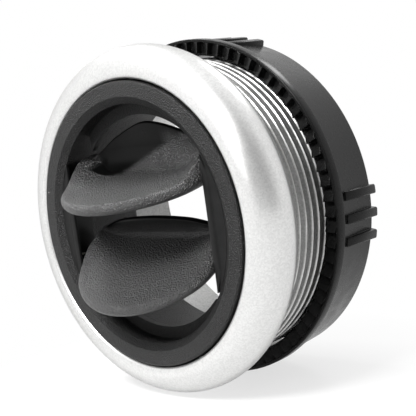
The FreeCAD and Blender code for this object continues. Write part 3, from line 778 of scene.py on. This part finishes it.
def add_camera(scene, right, up, backward):
    """Camera with the photograph's view and field."""
    place = (Vector((0.0, FACE_DEPTH, 0.0)) + right * CAMERA_RIGHT + up * CAMERA_UP
             + backward * CAMERA_DISTANCE)
    camera = bpy.data.cameras.new("camera")
    camera.sensor_width = SENSOR_WIDTH
    camera.lens = FOCAL_PIXELS / PHOTO_PIXELS * SENSOR_WIDTH
    camera.clip_start = 10.0 * MM
    holder = bpy.data.objects.new("camera", camera)
    axes = Matrix((right, up, backward)).transposed().to_4x4()
    holder.matrix_world = Matrix.Translation(place) @ axes
    scene.collection.objects.link(holder)
    scene.camera = holder


def area_light(name, place, size, power):
    """A square soft light aimed at the vent's middle, in metres and watts."""
    lamp = bpy.data.lights.new(name, "AREA")
    lamp.shape = "SQUARE"
    lamp.size = size
    lamp.energy = power
    piece = bpy.data.objects.new(name, lamp)
    turn = (-place).to_track_quat("-Z", "Y").to_matrix().to_4x4()
    piece.matrix_world = Matrix.Translation(place) @ turn
    bpy.context.scene.collection.objects.link(piece)


def add_floor():
    """Wide pale floor below the vent that fades to plain white away from the vent's soft shadow."""
    height = CAD_BOX[0][2] - 0.4 * MM
    half = 3.0
    corners = [(-half, -half, height), (half, -half, height),
               (half, half, height), (-half, half, height)]
    mesh = bpy.data.meshes.new("floor")
    mesh.from_pydata(corners, [], [(0, 1, 2, 3)])
    floor = bpy.data.objects.new("floor", mesh)
    bpy.context.scene.collection.objects.link(floor)
    # Matt white paint on board: faintly cloudy, so that the shadow on it doesn't look flat
    material, tree, position = new_material("pale_floor_paint")
    clouds = add(tree, "ShaderNodeTexNoise",
                 {"Vector": position, "Scale": 1.0 / (40.0 * MM), "Detail": 2.0}, "Fac")
    tone = add(tree, "ShaderNodeMapRange",
               {"Value": clouds, "From Min": 0.3, "From Max": 0.7}, "Result")
    base = add(tree, "ShaderNodeMix",
               {FACTOR: tone, COLOUR_A: linear("#f2f2f2"), COLOUR_B: linear("#f6f6f6")},
               COLOUR_OUT, data_type="RGBA")
    matt = add(tree, "ShaderNodeBsdfDiffuse", {"Color": base}, "BSDF")
    glow = add(tree, "ShaderNodeEmission", {"Color": WHITE, "Strength": 1.0}, "Emission")
    away = add(tree, "ShaderNodeVectorMath", {0: position}, "Value", operation="LENGTH")
    white_share = add(tree, "ShaderNodeMapRange",
                      {"Value": away, "From Min": 40.0 * MM, "From Max": 75.0 * MM,
                       "To Min": 0.7, "To Max": 1.0}, "Result")
    path = add(tree, "ShaderNodeLightPath")
    clear = add(tree, "ShaderNodeMath",
                {0: path.outputs["Is Camera Ray"], 1: path.outputs["Is Transmission Ray"]},
                0, operation="MAXIMUM")
    seen = add(tree, "ShaderNodeMath",
               {0: clear, 1: path.outputs["Is Glossy Ray"]}, 0, operation="MAXIMUM")
    share = add(tree, "ShaderNodeMath", {0: seen, 1: white_share}, 0, operation="MULTIPLY")
    surface = add(tree, "ShaderNodeMixShader", {0: share, 1: matt, 2: glow}, 0)
    add(tree, "ShaderNodeOutputMaterial", {"Surface": surface})
    mesh.materials.append(material)


def add_world(scene, towards_camera):
    """White studio all round, lighting the vent dimly.

    The camera sees it at full white, and so does what it sees through glass. Gloss shows the
    white too, apart from the part behind the camera, which stays dim.
    """
    world = bpy.data.worlds.new("studio")
    world.use_nodes = True
    scene.world = world
    tree = world.node_tree
    tree.nodes.clear()
    direction = add(tree, "ShaderNodeTexCoord", output="Generated")
    ahead = add(tree, "ShaderNodeVectorMath", {0: direction, 1: towards_camera}, "Value",
                operation="DOT_PRODUCT")
    backdrop = add(tree, "ShaderNodeMapRange",
                   {"Value": ahead, "From Min": 0.2, "From Max": 0.8, "To Min": 1.0, "To Max": 0.0},
                   "Result")
    path = add(tree, "ShaderNodeLightPath")
    glossy = add(tree, "ShaderNodeMath",
                 {0: path.outputs["Is Glossy Ray"], 1: backdrop}, 0, operation="MULTIPLY")
    clear = add(tree, "ShaderNodeMath",
                {0: path.outputs["Is Camera Ray"], 1: path.outputs["Is Transmission Ray"]},
                0, operation="MAXIMUM")
    seen = add(tree, "ShaderNodeMath", {0: clear, 1: glossy}, 0, operation="MAXIMUM")
    dim = add(tree, "ShaderNodeBackground", {"Color": WHITE, "Strength": 0.2}, "Background")
    white = add(tree, "ShaderNodeBackground", {"Color": WHITE, "Strength": 1.0}, "Background")
    surface = add(tree, "ShaderNodeMixShader", {0: seen, 1: dim, 2: white}, 0)
    add(tree, "ShaderNodeOutputWorld", {"Surface": surface})


class VENT_OT_stage(bpy.types.Operator):
    """Pale floor, soft lights and the camera"""

    bl_idname = "vent.stage"
    bl_label = "Stage"

    def execute(self, context):
        right, up, backward = camera_axes()
        add_camera(context.scene, right, up, backward)
        add_floor()
        add_world(context.scene, backward)
        area_light("key_light", (up * 0.6 - right * 0.5 + backward * 0.62) * 0.4,
                   size=0.11, power=2.3)
        area_light("left_light", (up * 0.83 - right * 0.47 - backward * 0.25) * 0.4,
                   size=0.1, power=1.1)
        area_light("front_light", (backward * 0.73 - right * 0.65 + up * 0.24) * 0.36,
                   size=0.18, power=0.2)
        area_light("top_light", (up * 0.83 + right * 0.4 - backward * 0.4) * 0.36,
                   size=0.1, power=0.3)
        context.scene.view_settings.view_transform = "Standard"
        return {"FINISHED"}


class VENT_PT_panel(bpy.types.Panel):
    """Sidebar panel of the vent's tools"""

    bl_idname = "VENT_PT_panel"
    bl_label = "Air Vent"
    bl_space_type = "VIEW_3D"
    bl_region_type = "UI"
    bl_category = "Air Vent"

    def draw(self, context):
        for name in VentSettings.__annotations__:
            self.layout.prop(context.scene.vent_settings, name)
        for step in STEPS:
            self.layout.operator(step.bl_idname)


STEPS = (VENT_OT_bezel, VENT_OT_ring, VENT_OT_blades, VENT_OT_nut, VENT_OT_stage)
CLASSES = (VentSettings, *STEPS, VENT_PT_panel)


def register():
    """Register the classes and the scene's settings."""
    for kind in CLASSES:
        bpy.utils.register_class(kind)
    bpy.types.Scene.vent_settings = bpy.props.PointerProperty(type=VentSettings)


def unregister():
    """Take the classes and the settings away again."""
    del bpy.types.Scene.vent_settings
    for kind in reversed(CLASSES):
        bpy.utils.unregister_class(kind)


def main():
    """Dress the vent."""
    register()
    bpy.ops.vent.bezel()
    bpy.ops.vent.ring()
    bpy.ops.vent.blades()
    bpy.ops.vent.nut()
    bpy.ops.vent.stage()


if __name__ == "__main__":
    main()
